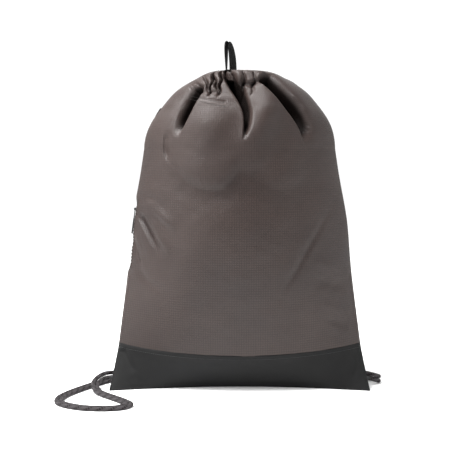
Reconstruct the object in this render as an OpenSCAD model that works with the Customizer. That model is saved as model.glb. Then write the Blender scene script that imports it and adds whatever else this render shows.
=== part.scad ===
// Drawstring laundry bag standing filled and cinched shut: two cloth panels over a dark base
// band, a gathered drawcord channel, two doubled drawcords that serve as straps, a webbing
// hang loop and a zip pocket in the left side seam.
// X runs to the right, the front faces -Y, Z is up. The origin is on the ground, under the
// middle of the bag, in the plane of the side seams.

/* [Bag] */
// Width between the two bottom corners
base_w = 356; // [300:1:430]
// Width at the seam between base band and panels
band_w = 334; // [280:1:400]
// Width at the shoulder, where the sides start to turn in
shoulder_w = 260; // [215:1:312]
// Height of the gathered top
bag_h = 436; // [380:1:523]
// Height of the shoulder
shoulder_z = 329; // [300:1:350]
// Greatest depth of the filled bag
bag_d = 150; // [125:1:180]
// Height at which the bag is deepest
belly_z = 230; // [200:1:270]
// Thickness of the cloth, with its lining
cloth_t = 1.6; // [1.2:0.1:2]
// Width of the sewn ridge along each side seam
ridge_w = 3; // [2.4:0.1:4]

/* [Base] */
// Depth of the flat underside
foot_d = 46; // [38:1:56]
// How far the underside sits behind the plane of the side seams
foot_back = 25; // [15:1:30]
// How far the bottom corners curl forward of that plane
corner_fwd = 25; // [15:1:30]
// Height of the base band at the side seams
band_h = 60; // [50:1:72]
// How much lower the band's top seam runs at the middle
band_dip = 12; // [0:1:16]

/* [Drawcord channel] */
// Outer radius of the gathered channel
channel_r = 33; // [30:1:38]
// Radius of the mouth that is left inside the gathers
mouth_r = 11; // [9:1:14]
// Height of the channel
channel_h = 20; // [18:0.5:22]
// Cloth thickness of the channel's walls
channel_t = 1.3; // [1:0.1:1.4]
// Width of the slit behind each side seam where the cords come out
slit_w = 26; // [24:1:28]
// How far below the top the slits start
slit_drop = 30; // [28:1:34]

/* [Drawcord] */
// Diameter of the round braided cord
cord_d = 6; // [5:0.1:6]
// Gap between the two strands of a pair
pair_gap = 0.8; // [0.6:0.1:1]
// Radius of the turn that each cord makes inside the channel
cord_ring_r = 22; // [21:0.5:23]
// Diameter of the knot that stops each pair
knot_d = 16; // [14:1:18]
// Length of the cord ends left beyond the knot
tail_l = 14; // [10:1:18]
// Length of the heat-sealed tip of each cord end
tip_l = 3; // [2:0.5:5]

/* [Corner tabs] */
// Width of the webbing
tab_w = 10; // [8:1:12]
// Thickness of the webbing
tab_t = 1.4; // [1.2:0.1:1.8]
// Radius of the eye that the cords pass through
eye_r = 7; // [6.8:0.1:7.4]
// Height of the eye's centre
eye_z = 15; // [14:0.5:16]
// Distance of the eye's centre behind the plane of the side seams
eye_y = 12; // [10:1:14]
// How far in from the bottom corner the eye's centre sits
eye_in = 9; // [7:0.5:12]

/* [Hang loop] */
// Width of the webbing
loop_w = 10; // [8:0.5:11]
// Thickness of the webbing
loop_t = 1.4; // [1:0.1:1.8]
// Height of the loop above the gathered top
loop_h = 40; // [34:1:60]
// Distance of the loop to the left of the middle
loop_x = 12; // [8:1:14]
// Distance of the loop behind the middle
loop_y = 18; // [15:1:20]

/* [Zip pocket] */
// Length of the zip's chain
zip_l = 77; // [60:1:90]
// Height of the zip's middle
zip_z = 212.5; // [200:0.5:220]
// Half width of the zip opening between the panels
zip_half = 5.2; // [5:0.1:6]
// Thickness of the zip tape
tape_t = 1; // [0.8:0.1:1.2]
// Width of one coil row
coil_w = 1.2; // [1:0.1:1.4]
// Thickness of the coil rows
coil_t = 1.8; // [1.6:0.1:2]
// Distance between two coil teeth
coil_pitch = 2.75; // [2.5:0.05:3]
// Half width of the groove between the coil rows
groove_half = 0.7; // [0.6:0.05:0.8]
// Length of the slider
slider_l = 9; // [8:0.5:10]
// Half width of the slider
slider_half = 3.4; // [3:0.1:3.5]
// Clearance between the slider and everything it runs along
slider_gap = 0.3; // [0.25:0.05:0.4]
// Length of the metal pull
pull_l = 13; // [10:1:16]
// Width of the pull
pull_w = 3.8; // [3:0.1:4]
// Length of the cord loop on the pull
pull_cord_l = 21; // [16:1:26]
// Depth of the pocket, from the zip inwards
pocket_w = 75; // [60:1:80]
// How far the pocket hangs below the end of the zip
pocket_drop = 30; // [15:1:40]
// Inner thickness of the pocket
pocket_in = 8; // [7.8:0.1:8.4]
// Thickness of the pocket cloth
pocket_t = 0.8; // [0.6:0.1:0.9]

/* [Hidden] */
$fn = 48;

cloth = [0.36, 0.32, 0.31];
band_cloth = [0.19, 0.19, 0.19];
webbing = [0.1, 0.1, 0.1];
cord_grey = [0.45, 0.42, 0.42];
metal = [0.25, 0.25, 0.26];

// ---- shape of the filled bag ----

arc_n = 20;          // facets across one panel
edge_step = 0.6;     // half thickness of the binding inside a side seam
body_k = 1.7;        // how pointed the cross-section is at the side seams
dome_m = 1.85;       // roundness of the shoulders seen from the front
dome_q = 0.656;
back_m = 2.2;        // roundness of the top seen from the side
back_q = 0.8;
dip_end_z = 2.5 * band_h;  // height at which the band seam's dip has died out
rim_h = 3.6;         // height over which the panels hug the channel
rim_t = 1;           // thickness of the panels' top edge

function clamp01(v) = max(0, min(1, v));
function shoulder_u(z) = clamp01((z - shoulder_z) / (bag_h - shoulder_z));
function belly_u(z) = clamp01((z - belly_z) / (bag_h - belly_z));

// Half width at a height
function half_w(z) =
    z < band_h ? base_w / 2 + (band_w - base_w) / 2 * z / band_h :
    z < shoulder_z ? band_w / 2
        + (shoulder_w - band_w) / 2 * (z - band_h) / (shoulder_z - band_h) :
    channel_r + (shoulder_w / 2 - channel_r)
        * pow(1 - pow(shoulder_u(z), dome_m), dome_q);

// Half depth at a height
function half_d(z) =
    z < belly_z ? foot_d / 2 + (bag_d - foot_d) / 2 * sin(90 * z / belly_z) :
    channel_r + (bag_d / 2 - channel_r) * pow(1 - pow(belly_u(z), back_m), back_q);

// Exponent of the cross-section: pointed in the body, round at the channel
function section_k(z) = body_k + (1 - body_k) * shoulder_u(z);

// Depth shift of the base: its middle sits back and its corners curl forward, where u is 0
// in the middle and 1 at the side seam
function base_shift(z, u) = z >= band_h ? 0 :
    pow(1 - z / band_h, 2) * (foot_back - (foot_back + corner_fwd) * pow(u, 2));

// Sag of a level line towards the middle of the front and back
function dip(z) = z < band_h ? band_dip * z / band_h :
    band_dip * clamp01((dip_end_z - z) / (dip_end_z - band_h));

// Angle at which the cross-section is half a gap away from the seam plane
function edge_angle(gap, depth, k) = asin(pow(gap / depth, 1 / k));

// Point of the cloth: side is -1 for the front and 1 for the back, t runs from the right
// seam at 0 to the left seam at 180, tip and skin are the insets at the ridge and the face
function cloth_pt(z, t, side, tip, skin) =
    let (zz = z - dip(z) * pow(sin(t), 2), x = (half_w(z) - tip) * cos(t))
    [x, side * (half_d(zz) - skin) * pow(sin(t), section_k(z)) + base_shift(zz, x / half_w(z)),
     zz];

// Gap between the panels at a seam: the slit at the top, and the zip in the left seam
slit_z = bag_h - slit_drop;
slit_ramp = 12;
zip_ramp = 6;
zip_room = 3;
zip_tilt = atan((band_w - shoulder_w) / 2 / (shoulder_z - band_h));
zip_low = zip_z - (zip_l / 2 + zip_room) * cos(zip_tilt);
zip_high = zip_z + (zip_l / 2 + zip_room) * cos(zip_tilt);
function slit_gap(z, side) = side < 0 ? 0 : slit_w * clamp01((z - slit_z) / slit_ramp);
function zip_gap(z) = zip_half * min(clamp01((z - zip_low + zip_ramp) / zip_ramp),
                                     clamp01((zip_high + zip_ramp - z) / zip_ramp));
function seam_gap(z, side, left) = max(slit_gap(z, side), left ? zip_gap(z) : 0);

// Insets of the inner face, which thins towards the rim
function tip_in(z) = ridge_w + (cloth_t - ridge_w) * shoulder_u(z);
function drop_in(z) = cloth_t * pow(shoulder_u(z), 2);

// One level of a panel: outer face from right to left, then the inner face back again
function level(z, side) =
    let (k = section_k(z), d = half_d(z),
         gr = seam_gap(z, side, false), gl = seam_gap(z, side, true),
         o0 = edge_angle(gr, d, k), o1 = 180 - edge_angle(gl, d, k),
         i0 = edge_angle(gr + edge_step, d - cloth_t, k),
         i1 = 180 - edge_angle(gl + edge_step, d - cloth_t, k),
         outer = [for (i = [0:arc_n]) cloth_pt(z, o0 + (o1 - o0) * i / arc_n, side, 0, 0)],
         inner = [for (i = [0:arc_n])
             cloth_pt(z, i0 + (i1 - i0) * i / arc_n, side, tip_in(z), cloth_t)
             - [0, 0, drop_in(z)]])
    ring(outer, inner, side);

// One level of a panel's top edge, which closes round the channel
rim_r = channel_r / cos(90 / arc_n);
function rim_level(z_out, r_out, z_in, side) =
    let (gap = slit_gap(bag_h, side),
         o0 = asin(gap / r_out), i0 = asin((gap + edge_step) / rim_r),
         outer = [for (i = [0:arc_n]) let (t = o0 + (180 - 2 * o0) * i / arc_n)
             [r_out * cos(t), side * r_out * sin(t), z_out]],
         inner = [for (i = [0:arc_n]) let (t = i0 + (180 - 2 * i0) * i / arc_n)
             [rim_r * cos(t), side * rim_r * sin(t), z_in]])
    ring(outer, inner, side);

// Closed loop of an outer and an inner line, with a step at each seam for the binding
function ring(outer, inner, side) =
    let (last = len(outer) - 1, step = [0, side * edge_step, 0])
    concat(outer, [inner[last] - step], [for (i = [last:-1:0]) inner[i]], [inner[0] - step]);

// Skin over a stack of rings, closed at both ends
module cloth_shell(rings, side) {
    m = 2 * arc_n + 4;
    wall = [for (k = [0:len(rings) - 2], j = [0:m - 1])
        let (a = k * m + j, b = k * m + (j + 1) % m) each [[a, b + m, b], [a, a + m, b + m]]];
    function quad(s, i) = [s + i, s + i + 1, s + 2 * arc_n + 1 - i, s + 2 * arc_n + 2 - i];
    function cap(s) = [
        for (i = [0:arc_n - 1]) let (q = quad(s, i)) each [[q[0], q[2], q[1]], [q[0], q[3], q[2]]],
        [s + arc_n, s + arc_n + 2, s + arc_n + 1],
        [s, s + 2 * arc_n + 3, s + 2 * arc_n + 2]];
    skin = concat(wall, [for (f = cap(0)) [f[0], f[2], f[1]]], cap((len(rings) - 1) * m));
    polyhedron([for (r = rings) each r],
               side > 0 ? skin : [for (f = skin) [f[0], f[2], f[1]]], convexity = 6);
}

// Heights at even steps from one value up to, but not including, the next
function steps(from, to, n) = [for (i = [0:n - 1]) from + (to - from) * i / n];

neck_z = bag_h - 5;  // height at which the panels start to close round the channel
neck_w = 3;          // how far they stand off it just above that
neck_lip = 2;        // depth of their rounded top edge
base_levels = concat(steps(band_h / 4, band_h, 3), [band_h]);
panel_levels = concat(steps(band_h, zip_low - zip_ramp, 4),
                      [zip_low - zip_ramp, zip_low, zip_z, zip_high],
                      steps(zip_high + zip_ramp, shoulder_z, 3),
                      steps(shoulder_z, slit_z, 5),
                      steps(slit_z, slit_z + slit_ramp, 3),
                      steps(slit_z + slit_ramp, neck_z, 3), [neck_z]);

module base_half(side) {
    sole = level(0, side);
    cloth_shell(concat([sole, [for (p = sole) p + [0, 0, cloth_t]]],
                       [for (z = base_levels) level(z, side)]), side);
}

module panel(side) {
    cloth_shell(concat([for (z = panel_levels) level(z, side)],
                       [rim_level(bag_h - neck_lip, channel_r + neck_w, bag_h - rim_h, side),
                        rim_level(bag_h, channel_r + rim_t, bag_h, side)]), side);
}

module front_panel() {
    color(cloth) panel(-1);
}

module back_panel() {
    color(cloth) panel(1);
}

module base_front() {
    color(band_cloth) base_half(-1);
}

module base_back() {
    color(band_cloth) base_half(1);
}

// Flat underside, inside the lower edge of the base band
module base_panel() {
    inner_side = [for (i = [arc_n + 2:2 * arc_n + 2]) i];
    back = [for (i = inner_side) level(0, 1)[i]];
    front = [for (i = inner_side) level(0, -1)[i]];
    n = len(back);
    color(band_cloth) linear_extrude(cloth_t)
        polygon([for (p = back) [p[0], p[1]], for (i = [n - 1:-1:0]) [front[i][0], front[i][1]]]);
}

// ---- bindings inside the side seams ----

binding_w = 8;
binding_low = band_h + 25;
binding_high = slit_z - 22;

// Strip from one height to another, set into the step of both panels
module seam_binding(z0, z1, left) {
    zs = concat([z0], [for (z = panel_levels) if (z > z0 && z < z1) z], [z1]);
    m = left ? -1 : 1;
    function lip(z) = [m * level(z, 1)[2 * arc_n + 2][0], level(z, 1)[2 * arc_n + 2][2]];
    points = [for (z = zs) let (p = lip(z))
        each [[p[0], -edge_step, p[1]], [p[0], edge_step, p[1]],
              [p[0] - m * binding_w, edge_step, p[1]], [p[0] - m * binding_w, -edge_step, p[1]]]];
    n = len(zs);
    faces = concat([[0, 1, 2, 3]],
        [for (k = [0:n - 2], j = [0:3]) let (a = 4 * k + j, b = 4 * k + (j + 1) % 4)
            [a, a + 4, b + 4, b]],
        [[4 * n - 1, 4 * n - 2, 4 * n - 3, 4 * n - 4]]);
    color(webbing) polyhedron(points, left ? [for (f = faces) [f[3], f[2], f[1], f[0]]] : faces);
}

module seam_binding_right() {
    seam_binding(binding_low, binding_high, false);
}

module seam_binding_left_upper() {
    seam_binding(zip_high + zip_ramp, binding_high, true);
}

module seam_binding_left_lower() {
    seam_binding(binding_low, zip_low - zip_ramp, true);
}

// ---- gathered channel ----

channel_clear = 0.5;

module channel(from, to) {
    low = bag_h - channel_h;
    color(cloth) rotate([0, 0, from])
        rotate_extrude(angle = to - from) difference() {
            translate([mouth_r, low]) square([channel_r - mouth_r, channel_h]);
            translate([mouth_r + channel_t, low + channel_t])
                square([channel_r - mouth_r - 2 * channel_t, channel_h - 2 * channel_t]);
        }
}

module channel_front() {
    channel(180, 360);
}

module channel_back() {
    open = asin(slit_w / channel_r);
    channel(open, 180 - open);
}

// ---- drawcords ----

// Routes of the pairs from the knot at the corner to the slit, as the middle between the two
// strands: place, then the plan angle and the upward tilt of the way from strand b to strand a
left_route = [
    [-157, 12, 15, 127, 90], [-171, 12, 15, 127, 90], [-187, 2, 15, 130, 70],
    [-197, -20, 9.5, 170, 40], [-190, -45, 3.8, 205, 10], [-151, -99, 3, 205, 0],
    [-142, -117, 3, 176, 0], [-148, -131, 3, 134, 0], [-164, -138, 3, 100, 0],
    [-200, -134, 3, 68, 0], [-231, -108, 3, 28, 0], [-234, -72, 3, -12, 0],
    [-190, 22, 3, -32, 0], [-160, 55, 3, -60, 0], [-132, 67, 3, -96, 0],
    [-109, 59, 9, -138, 0], [-107, 50, 230, -144, 0], [-102, 41, 306, -144, 0],
    [-94, 35, 379, -143, 0], [-87, 29, 399, -137, 0], [-79, 18, 418, -118, 0],
    [-64, 13.5, 422.5, -98, 0], [-34, 13.5, 420.8, -92, 0]];
right_route = [
    [157, 12, 15, 90, 90], [171, 12, 15, 90, 90], [186, 14, 11.5, 90, 90],
    [196, 26, 6.4, 90, 90], [186, 41, 6.4, 90, 90], [158, 50, 5.8, 85, 48],
    [130, 57, 3.2, 85, 6], [-37, 62, 3, 88, 0], [-54, 69, 3, 48, 0],
    [-60, 83, 3, 0, 0], [-53, 96, 3, -48, 0], [-37, 101, 3, -86, 0],
    [76, 98, 3, -98, 0], [101, 82, 4, -142, 0], [107, 57, 20, -178, 0],
    [107, 50, 230, -216, 0], [102, 41, 306, -216, 0], [94, 35, 379, -217, 0],
    [87, 29, 399, -223, 0], [79, 18, 420, -242, 0], [64, 13.5, 429, -262, 0],
    [34, 13.5, 427.2, -268, 0]];

pair_half = (cord_d + pair_gap) / 2;
cord_sides = 8;

// Angle at the middle of the channel between the way out and the place where a cord leaves
// its turn, for a route that ends that far out
function leave_angle(far) = atan(pair_half / far)
    + acos(cord_ring_r / norm([far, pair_half]));

// Centre line of one strand: along the route, then straight on to its turn in the channel
function strand_points(route, way) =
    let (end = route[len(route) - 1], out = atan2(end[1], end[0]),
         b = leave_angle(norm([end[0], end[1]])) * sign(way * sin(end[3] - out)))
    concat([for (p = route) [p[0], p[1], p[2]] + way * pair_half
               * [cos(p[3]) * cos(p[4]), sin(p[3]) * cos(p[4]), sin(p[4])]],
           [[cord_ring_r * cos(out + b), cord_ring_r * sin(out + b), end[2]]]);

function unit(v) = v / norm(v);

// Directions at the points of a line
function headings(pts) = [for (i = [0:len(pts) - 1])
    unit(pts[min(i + 1, len(pts) - 1)] - pts[max(i - 1, 0)])];

// Frame carried along the line without twisting it
function carry(dirs, i, v) =
    i == len(dirs) ? [] :
    let (u = unit(v - (v * dirs[i]) * dirs[i])) concat([u], carry(dirs, i + 1, u));

module tube(pts, d) {
    dirs = headings(pts);
    first = abs(dirs[0][2]) < 0.9 ? [0, 0, 1] : [1, 0, 0];
    us = carry(dirs, 0, first);
    n = cord_sides;
    rings = [for (i = [0:len(pts) - 1], j = [0:n - 1])
        let (u = us[i], w = cross(dirs[i], u), a = 360 * j / n)
        pts[i] + d / 2 * (u * cos(a) + w * sin(a))];
    k = len(pts);
    faces = concat([[for (j = [0:n - 1]) j]],
        [for (i = [0:k - 2], j = [0:n - 1]) let (a = i * n + j, b = i * n + (j + 1) % n)
            each [[a, b + n, b], [a, a + n, b + n]]],
        [[for (j = [n - 1:-1:0]) (k - 1) * n + j]]);
    polyhedron(rings, faces, convexity = 8);
}

module strand(route, way) {
    color(cord_grey) tube(strand_points(route, way), cord_d);
}

module cord_left_strand_a() {
    strand(left_route, 1);
}

module cord_left_strand_b() {
    strand(left_route, -1);
}

module cord_right_strand_a() {
    strand(right_route, 1);
}

module cord_right_strand_b() {
    strand(right_route, -1);
}

// Turn of a cord inside the channel, open towards its own slit
module cord_turn(route) {
    end = route[len(route) - 1];
    b = leave_angle(norm([end[0], end[1]]));
    color(cord_grey) translate([0, 0, end[2]]) rotate([0, 0, atan2(end[1], end[0]) + b])
        rotate_extrude(angle = 360 - 2 * b) translate([cord_ring_r, 0]) circle(d = cord_d);
}

module cord_left_channel() {
    cord_turn(left_route);
}

module cord_right_channel() {
    cord_turn(right_route);
}

// ---- knots, cord ends and corner tabs; m is -1 on the left and 1 on the right ----

eye_x = half_w(eye_z) - eye_in;
knot_gap = 0.5;                     // between the knot and the eye that stops it
knot_x = eye_x - tab_w / 2 - knot_d / 2 - knot_gap;
tail_from = knot_d / 2 - cord_d / 3;  // where the ends come out of the knot
tail_dir = [-0.6, 0.66, -0.45];
tail_side = [0.66, 0.6, 0.45];

module at_knot(m) {
    translate([m * knot_x, eye_y, eye_z]) mirror([m < 0 ? 1 : 0, 0, 0]) children();
}

module knot(m) {
    color(cord_grey) at_knot(m) {
        sphere(d = knot_d);
        rotate([0, 90, 0]) rotate_extrude()
            translate([tail_from, 0]) circle(d = cord_d);
    }
}

// Stretch of both ends, starting a distance away from the knot's middle
module along_tail(from, length) {
    dir = unit(tail_dir);
    for (s = [-1, 1])
        translate(s * pair_half * unit(cross(dir, tail_side)) + from * dir)
            rotate([0, acos(dir[2]), atan2(dir[1], dir[0])]) cylinder(d = cord_d, h = length);
}

module tails(m) {
    color(cord_grey) at_knot(m) along_tail(tail_from, tail_l);
}

module tips(m) {
    color(webbing) at_knot(m) along_tail(tail_from + tail_l, tip_l);
}

module cord_left_knot() {
    knot(-1);
}

module cord_right_knot() {
    knot(1);
}

module cord_left_tails() {
    tails(-1);
}

module cord_right_tails() {
    tails(1);
}

module cord_left_tips() {
    tips(-1);
}

module cord_right_tips() {
    tips(1);
}

// Webbing folded round the cords, its sewn ends let into the side seam of the base band
tab_sink = 1;        // depth of the tab's end in the side seam

module corner_tab(m) {
    root = [half_w(eye_z) - tab_sink, base_shift(eye_z, 1) + tab_sink];
    eye = [eye_x, eye_y];
    stem = norm(eye - root) - eye_r - tab_t / 2;
    turn = atan2(eye[0] - root[0], eye[1] - root[1]);
    color(webbing) mirror([m < 0 ? 1 : 0, 0, 0]) {
        translate([eye[0] - tab_w / 2, eye[1], eye_z]) rotate([0, 90, 0])
            difference() {
                cylinder(r = eye_r + tab_t, h = tab_w);
                translate([0, 0, -1]) cylinder(r = eye_r, h = tab_w + 2);
            }
        translate([root[0], root[1], eye_z]) rotate([0, 0, -turn])
            translate([-tab_w / 2, 0, -tab_t]) cube([tab_w, stem, 2 * tab_t]);
    }
}

module corner_tab_left() {
    corner_tab(-1);
}

module corner_tab_right() {
    corner_tab(1);
}

// ---- hang loop ----

loop_steps = 16;
loop_half = 6.2;     // half of the distance between the two legs at the bottom
loop_sink = 1.3;     // depth of the sewn ends in the channel
loop_square = 0.7;   // below 1, the legs stay further apart on their way up
loop_twist = 0.8;    // below 1, the webbing turns mostly in the leg on the left

// Webbing from the edge-on leg on the left, over the top, down to the broad leg on the right
module hang_loop() {
    foot_z = bag_h - loop_sink;
    rise = loop_h + loop_sink - loop_t;
    function at(s) = [-loop_x + loop_half * (s < 0.5 ? -1 : 1) * pow(abs(cos(180 * s)), loop_square),
                      loop_y, foot_z + rise * sin(180 * s)];
    points = [for (i = [0:loop_steps]) at(i / loop_steps)];
    dirs = headings(points);
    ring_points = [for (i = [0:loop_steps])
        let (a = 90 - 90 * pow(i / loop_steps, loop_twist), across = [cos(a), sin(a), 0],
             w = unit(across - (across * dirs[i]) * dirs[i]), h = cross(dirs[i], w))
        each [for (c = [[-1, -1], [1, -1], [1, 1], [-1, 1]])
            points[i] + c[0] * loop_w / 2 * w + c[1] * loop_t / 2 * h]];
    n = loop_steps + 1;
    faces = concat([[3, 2, 1, 0]],
        [for (k = [0:n - 2], j = [0:3]) let (a = 4 * k + j, b = 4 * k + (j + 1) % 4)
            each [[a, b, b + 4], [a, b + 4, a + 4]]],
        [[4 * n - 4, 4 * n - 3, 4 * n - 2, 4 * n - 1]]);
    color(webbing) polyhedron(ring_points, [for (f = faces) [for (i = [len(f) - 1:-1:0]) f[i]]],
                              convexity = 4);
}

// ---- zip pocket, in a frame at the middle of the zip with Z along the left seam and
// -X pointing out of the bag ----

tape_x = 3.8;                          // inset of the tape from the seam line
tape_end = 1.6;                        // tape beyond each end of the chain
coil_x = tape_x + tape_t / 2 - coil_t / 2;
stop_l = tape_end;                     // length of the stops at the chain's ends
slider_plate = 1.1;                    // thickness of the slider's plates
slider_top = zip_l / 2 - slider_gap;
post_h = 3;                            // length of the post between the slider's plates
lap = 0.1;                             // overlap that joins the slider's plates and posts
pin_r = 0.6;
pin_out = 3.4;                         // distance from the slider's plate to the pin
pin_x = coil_x - slider_gap - slider_plate - pin_out;
pin_z = slider_top - slider_l / 2 + 1;
lug_t = 1;                             // thickness of the lugs that hold the pull's pin
lug_half = 1.2;                        // half length of the lugs along the zip
lug_wall = 0.4;                        // what the lugs leave outside the pin
eye_wall = 0.9;                        // wall round the hole of the pull's eye
pull_t = 1.2;
pull_hole_r = 0.8;
pull_hole_in = 2.4;                    // distance of that hole from the pull's end
cord_pull_d = 1.8;                     // thickness of the cord loop on the pull
cord_pull_w = 1.2;                     // width of its two runs
cord_pull_end = 2.5;                   // length of its gathered ends

module at_zip() {
    translate([-half_w(zip_z), 0, zip_z]) rotate([0, zip_tilt, 0]) children();
}

// Box between two corners
module block(a, b) {
    translate(a) cube(b - a);
}

module zip_tape(side) {
    color(webbing) at_zip() mirror([0, side > 0 ? 0 : 1, 0])
        block([tape_x, groove_half + coil_w, -zip_l / 2 - tape_end],
              [tape_x + tape_t, zip_half, zip_l / 2 + tape_end]);
}

// Row of the coil: a core along the tape's edge with the coil's turns standing on it
module zip_coil(side) {
    core = coil_w / 2;
    turns = floor(zip_l / coil_pitch);
    color(webbing) at_zip() mirror([0, side > 0 ? 0 : 1, 0]) {
        block([coil_x, groove_half + coil_w - core, -zip_l / 2],
              [coil_x + coil_t, groove_half + coil_w, zip_l / 2]);
        for (i = [0:turns - 1])
            translate([coil_x, groove_half, -zip_l / 2 + (i + 1 / 4) * coil_pitch])
                cube([coil_t, coil_w - core, coil_pitch / 2]);
    }
}

module zip_tape_front() {
    zip_tape(-1);
}

module zip_tape_back() {
    zip_tape(1);
}

module zip_coil_front() {
    zip_coil(-1);
}

module zip_coil_back() {
    zip_coil(1);
}

module zip_stop(z) {
    y = groove_half + coil_w;
    color(metal) at_zip() block([coil_x, -y, z], [tape_x + tape_t, y, z + stop_l]);
}

module zip_top_stop() {
    zip_stop(zip_l / 2);
}

module zip_bottom_stop() {
    zip_stop(-zip_l / 2 - stop_l);
}

module zip_slider() {
    out_x = coil_x - slider_gap;
    in_x = coil_x + coil_t + slider_gap;
    low = slider_top - slider_l;
    post_y = groove_half - slider_gap;
    lug_y = pull_w / 2 + slider_gap;
    color(metal) at_zip() {
        block([out_x - slider_plate, -slider_half, low], [out_x, slider_half, slider_top]);
        block([in_x, -slider_half, low], [in_x + slider_plate, slider_half, slider_top]);
        block([out_x - lap, -post_y, slider_top - post_h], [in_x + lap, post_y, slider_top]);
        for (s = [0, 1]) mirror([0, s, 0])
            block([pin_x - pin_r - lug_wall, lug_y, pin_z - lug_half],
                  [out_x - slider_plate + lap, lug_y + lug_t, pin_z + lug_half]);
        translate([pin_x, -lug_y - lug_t / 2, pin_z]) rotate([-90, 0, 0])
            cylinder(r = pin_r, h = 2 * lug_y + lug_t);
    }
}

// Metal pull, hanging from the slider's pin along the seam
module zip_pull() {
    hole = pin_r + slider_gap;
    ring_r = hole + eye_wall;
    color(metal) at_zip() translate([pin_x, 0, pin_z]) difference() {
        union() {
            rotate([90, 0, 0]) cylinder(r = ring_r, h = pull_w, center = true);
            block([-pull_t / 2, -pull_w / 2, -pull_l], [pull_t / 2, pull_w / 2, -hole - lap]);
        }
        rotate([90, 0, 0]) cylinder(r = hole, h = 2 * pull_w, center = true);
        translate([-pull_t, 0, -pull_l + pull_hole_in]) rotate([0, 90, 0])
            cylinder(r = pull_hole_r, h = 2 * pull_t);
    }
}

// Flat cord loop gripped under the pull
module zip_pull_cord() {
    color(webbing) at_zip() translate([pin_x, 0, pin_z - pull_l])
        rotate([0, 90, 0]) translate([pull_cord_l / 2, 0, -cord_pull_d / 2])
            linear_extrude(cord_pull_d) difference() {
                square([pull_cord_l, pull_w], center = true);
                square([pull_cord_l - 2 * cord_pull_end, pull_w - 2 * cord_pull_w], center = true);
            }
}

// Flat pouch behind the zip, open towards it; below the zip it stays clear of the seam
pocket_clear = 12;

// Outline of the pouch, drawn in by its wall where inset is the wall
module pocket_block(inset, open) {
    mouth_x = tape_x + tape_t;
    half = pocket_in / 2 + pocket_t - inset;
    top = zip_l / 2 + tape_end - inset;
    back = mouth_x + pocket_w - inset;
    block([mouth_x - open, -half, -zip_l / 2 - tape_end + inset], [back, half, top]);
    block([mouth_x + pocket_clear + inset, -half, -zip_l / 2 - pocket_drop + inset],
          [back, half, top]);
}

module pocket_bag() {
    color(cloth) at_zip() difference() {
        pocket_block(0, 0);
        pocket_block(pocket_t, pocket_t);
    }
}

front_panel();
back_panel();
base_front();
base_back();
base_panel();
channel_front();
channel_back();
seam_binding_right();
seam_binding_left_upper();
seam_binding_left_lower();
hang_loop();
corner_tab_left();
corner_tab_right();
cord_left_channel();
cord_right_channel();
cord_left_strand_a();
cord_left_strand_b();
cord_right_strand_a();
cord_right_strand_b();
cord_left_knot();
cord_right_knot();
cord_left_tails();
cord_right_tails();
cord_left_tips();
cord_right_tips();
zip_tape_front();
zip_tape_back();
zip_coil_front();
zip_coil_back();
zip_top_stop();
zip_bottom_stop();
zip_slider();
zip_pull();
zip_pull_cord();
pocket_bag();
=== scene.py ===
"""Looks of the drawstring laundry bag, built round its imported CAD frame.

The bag stands filled and cinched: a ripstop body with deep gathers under its drawcord channel,
a heavy dark base band, two doubled braided drawcords, a webbing hang loop and a side zip.
Sizes are in millimetres in the shape functions and go to metres when a mesh is made.
"""
import math

import bpy
import numpy as np
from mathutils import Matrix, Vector
from mathutils.bvhtree import BVHTree


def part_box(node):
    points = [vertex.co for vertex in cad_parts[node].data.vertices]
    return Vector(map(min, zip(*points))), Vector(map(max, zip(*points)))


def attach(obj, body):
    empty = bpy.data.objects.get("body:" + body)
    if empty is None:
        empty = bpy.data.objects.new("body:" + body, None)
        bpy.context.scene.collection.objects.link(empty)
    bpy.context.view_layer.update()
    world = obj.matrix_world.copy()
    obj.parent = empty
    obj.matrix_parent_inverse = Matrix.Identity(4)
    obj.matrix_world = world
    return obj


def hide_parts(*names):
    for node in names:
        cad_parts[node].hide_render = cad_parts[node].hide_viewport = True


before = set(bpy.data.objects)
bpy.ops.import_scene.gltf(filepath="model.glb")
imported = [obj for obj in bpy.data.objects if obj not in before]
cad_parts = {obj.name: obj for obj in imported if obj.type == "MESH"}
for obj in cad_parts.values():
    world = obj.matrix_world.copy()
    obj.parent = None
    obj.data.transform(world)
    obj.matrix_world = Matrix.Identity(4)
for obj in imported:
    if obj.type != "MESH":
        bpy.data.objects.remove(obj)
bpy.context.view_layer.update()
MM = 0.001


def node_box(node):
    """Lowest and highest corner of a CAD node in millimetres."""
    low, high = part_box(node)
    return np.array(low) / MM, np.array(high) / MM


def node_centre(node):
    low, high = node_box(node)
    return (low + high) / 2


# ---------------------------------------- camera

SENSOR_MM, LENS_MM = 36.0, 83.62
CAMERA_AT = (-0.0043, -1.5, 0.330)
CAMERA_PITCH = 4.61

camera_data = bpy.data.cameras.new("camera")
camera_data.sensor_width = SENSOR_MM
camera_data.lens = LENS_MM
camera = bpy.data.objects.new("camera", camera_data)
camera.location = CAMERA_AT
camera.rotation_euler = (math.radians(90 - CAMERA_PITCH), 0, 0)
bpy.context.scene.collection.objects.link(camera)
bpy.context.scene.camera = camera


# ---------------------------------------- mesh helpers

def new_piece(name, points, faces, material):
    """A mesh from points in millimetres, riding on the bag."""
    mesh = bpy.data.meshes.new(name)
    mesh.from_pydata((np.asarray(points, float) * MM).tolist(), [], [list(f) for f in faces])
    mesh.validate()
    mesh.materials.append(material)
    mesh.polygons.foreach_set("use_smooth", [True] * len(mesh.polygons))
    piece = bpy.data.objects.new(name, mesh)
    bpy.context.scene.collection.objects.link(piece)
    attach(piece, "bag")
    return piece


def grid_faces(rows, columns, around=False, flip=False):
    """Quads of a grid of points stored row by row."""
    faces = []
    for r in range(rows - 1):
        for c in range(columns if around else columns - 1):
            a, b = r * columns + c, r * columns + (c + 1) % columns
            quad = (a, b, b + columns, a + columns)
            faces.append(quad[::-1] if flip else quad)
    return faces


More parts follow.
